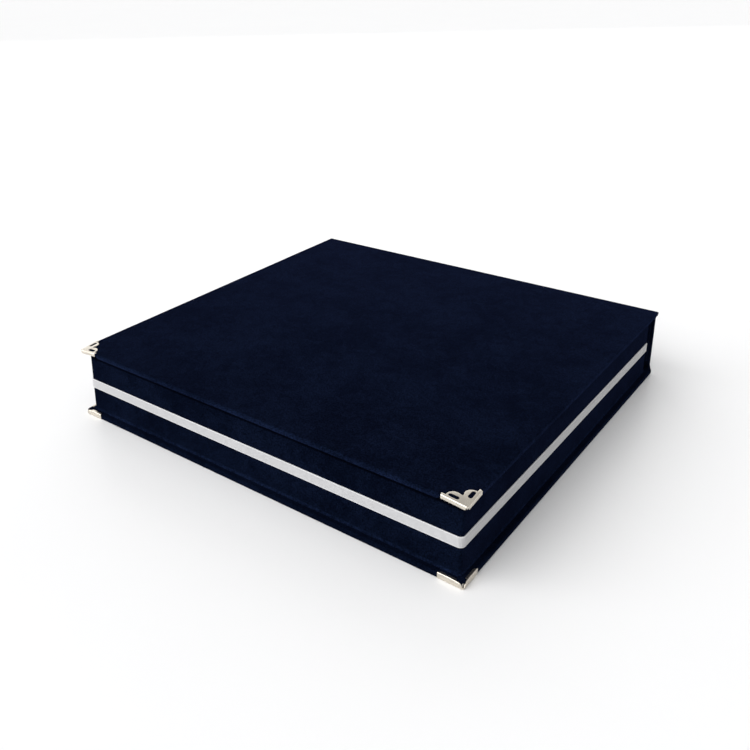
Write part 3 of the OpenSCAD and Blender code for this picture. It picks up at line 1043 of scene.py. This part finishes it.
def lid_pad_piece():
    """Foam under satin: a crowned panel that faces down, gathered in fine puckers."""
    low, high = box_mm("lid_padded_lining")
    wide, deep = (high.x - low.x) / 2, (high.y - low.y) / 2
    middle = (low + high) / 2
    back = hinge_at["lid_hinge"].z + 0.2
    roll_w, pucker_w = 7.0, 3.4         # rounding of the edge, and one gather along it
    columns, rows = 150, 146
    pucker_count = 400
    puckers = np.random.default_rng(21).uniform(-1, 1, pucker_count)
    side_start = 300                    # the sides don't repeat the gathers of the front
    points, faces = [], []
    for v in np.sin(np.linspace(-math.pi / 2, math.pi / 2, rows)):
        for u in np.sin(np.linspace(-math.pi / 2, math.pi / 2, columns)):
            x, y = middle.x + u * wide, middle.y + v * deep
            from_edge = min(wide - abs(x - middle.x), deep - abs(y - middle.y))
            roll = math.sqrt(max(0.0, 1 - (1 - min(1.0, from_edge / roll_w)) ** 2.4))
            by_front = deep - abs(y - middle.y) < wide - abs(x - middle.x)
            way = (x if by_front else y + side_start) / pucker_w
            gather = np.interp(way % (pucker_count - 1), range(pucker_count), puckers)
            fade = math.exp(-from_edge / roll_w) * min(1.0, from_edge / 1.2)
            depth = (back - low.z - 0.35) * roll + 0.30 * gather * fade
            depth += 0.22 * roll * ripple(x, y, 31, (120.0, 74.0, 51.0))
            points.append((x, y, back - depth))
    for j in range(rows - 1):
        for i in range(columns - 1):
            a = j * columns + i
            faces.append((a, a + columns, a + columns + 1, a + 1))
    rim = grid_rim(columns, rows)
    base = len(points)
    points += [(points[k][0], points[k][1], back + 0.3) for k in rim]
    size = len(rim)
    for k in range(size):
        faces.append((rim[k], rim[(k + 1) % size], base + (k + 1) % size, base + k))
    faces.append(tuple(base + k for k in range(size)))
    piece = mesh_piece("lid_satin_pad", points, faces, satin_mat, "lid", sharp=70)
    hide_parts("lid_padded_lining")


lid_pad_piece()


def spine_lining_piece():
    """A thin velvet panel glued inside the spine, with rounded edges."""
    low, high = box_mm("spine_lining")
    inner_y = low.y
    wide, glued_y = high.x, hinge_at["lid_hinge"].y + 0.4
    r = 0.35
    rings = []
    ends = [0.0, 0.12, r]
    levels = [low.z + e for e in ends] + list(np.linspace(low.z + 2, high.z - 2, 12))
    levels += [high.z - e for e in reversed(ends)]
    for z in levels:
        near = min(z - low.z, high.z - z, r)
        inset = r - math.sqrt(max(0.0, r * r - (r - near) ** 2))
        ring = [(x, inner_y + inset, z) for x in np.linspace(-(wide - r), wide - r, 40)]
        ring += [(wide - inset, inner_y + r, z), (wide - inset, glued_y, z)]
        ring += [(-(wide - inset), glued_y, z), (-(wide - inset), inner_y + r, z)]
        rings.append(ring)
    points, faces = loft(rings)
    piece = mesh_piece("spine_lining_velvet", points, faces, lining_velvet, "spine")
    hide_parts("spine_lining")


spine_lining_piece()


# ---- Materials of the CAD nodes that stay ----

def finish_node(node, material):
    """Gives a CAD node that stays visible its one material."""
    mesh = frame["nodes"][node].data
    mesh.materials.clear()
    mesh.materials.append(material)


kept_nodes = {
    board_mat: ["bottom_board", "front_wall_board", "rear_wall_board", "left_wall_board",
                "right_wall_board", "tray_floor", "spine_board"],
    lining_velvet: ["floor_lining"],
    foam_mat: ["foam_plinth"],
    magnet_mat: ["magnet_left", "magnet_right"],
    steel_mat: ["keeper_left", "keeper_right"],
}
for material, names in kept_nodes.items():
    for name in names:
        finish_node(name, material)


# ---- Stage, light and camera ----

def stage_plane():
    """A plain pale floor with a slight gloss."""
    n = Nodes("floor")
    faint = n.noise(n.place(), 6.0, 2.0, 0.5)
    n.shade(Base_Color=n.mix(faint, rgba(0.86, 0.86, 0.865), rgba(0.88, 0.88, 0.885)))
    n.shader.inputs["Roughness"].default_value = 0.3
    n.shader.inputs["Specular IOR Level"].default_value = 0.2
    mesh = bpy.data.meshes.new("floor")
    half = 12.0
    mesh.from_pydata([(-half, -half, 0), (half, -half, 0), (half, half, 0), (-half, half, 0)],
                     [], [(0, 1, 2, 3)])
    mesh.materials.append(n.material)
    floor = in_scene("floor", mesh)


def area_light(name, place, target, size, power):
    """A soft rectangular light at a place, turned to a target; metres and watts."""
    light = bpy.data.lights.new(name, "AREA")
    light.shape = "RECTANGLE"
    light.size, light.size_y = size
    light.energy = power
    lamp = in_scene(name, light)
    lamp.location = place
    lamp.rotation_euler = (Vector(target) - Vector(place)).to_track_quat("-Z", "Y").to_euler()


def sun_light(name, towards, strength, spread):
    """A distant soft light; towards points at the light, spread is its angle in degrees."""
    light = bpy.data.lights.new(name, "SUN")
    light.energy = strength
    light.angle = math.radians(spread)
    lamp = in_scene(name, light)
    lamp.rotation_euler = Vector(towards).to_track_quat("Z", "Y").to_euler()


def camera_at(azimuth, elevation, roll, distance, target, lens, shift):
    """A camera that looks at a point, from angles in degrees and distances in metres."""
    a, e, r = (math.radians(v) for v in (azimuth, elevation, roll))
    back = Vector((math.sin(a) * math.cos(e), -math.cos(a) * math.cos(e), math.sin(e)))
    right = Vector((math.cos(a), math.sin(a), 0.0))
    up = back.cross(right)
    right, up = (math.cos(r) * right + math.sin(r) * up, -math.sin(r) * right + math.cos(r) * up)
    data = bpy.data.cameras.new("camera")
    data.lens = lens
    data.shift_x, data.shift_y = shift
    data.clip_start, data.clip_end = 0.01, 50.0
    camera = in_scene("camera", data)
    turn = Matrix((right, up, back)).transposed()
    camera.matrix_world = Matrix.Translation(Vector(target) + back * distance) @ turn.to_4x4()
    scene.camera = camera


def studio_world(horizon, overhead):
    """A white studio, brighter round the horizon than overhead."""
    world = bpy.data.worlds.new("studio")
    world.use_nodes = True
    nodes, links = world.node_tree.nodes, world.node_tree.links
    ways = nodes.new("ShaderNodeSeparateXYZ")
    links.new(nodes.new("ShaderNodeTexCoord").outputs["Generated"], ways.inputs[0])
    fall = nodes.new("ShaderNodeMapRange")
    fall.interpolation_type = "SMOOTHSTEP"
    links.new(ways.outputs["Z"], fall.inputs["Value"])
    fall.inputs["From Min"].default_value = 0.02
    fall.inputs["From Max"].default_value = 0.5
    fall.inputs["To Min"].default_value = horizon
    fall.inputs["To Max"].default_value = overhead
    back = nodes["Background"]
    back.inputs["Color"].default_value = rgba(1.0, 1.0, 1.0)
    links.new(fall.outputs["Result"], back.inputs["Strength"])
    scene.world = world


stage_plane()
studio_world(horizon=1.12, overhead=0.58)
scene.view_settings.view_transform = "Standard"
sun_light("key", towards=(-0.38, -0.78, 0.5), strength=3.2, spread=75)
area_light("rear_panel", place=(-1.42, 1.81, 0.98), target=(0, 0, 0.05), size=(3.0, 1.6),
           power=12.0)

camera_at(azimuth=39.501, elevation=19.313, roll=-1.392, distance=0.839718,
          target=(-0.201926, 0.142806, 0.025), lens=41.789, shift=(0.12155, -0.16488))
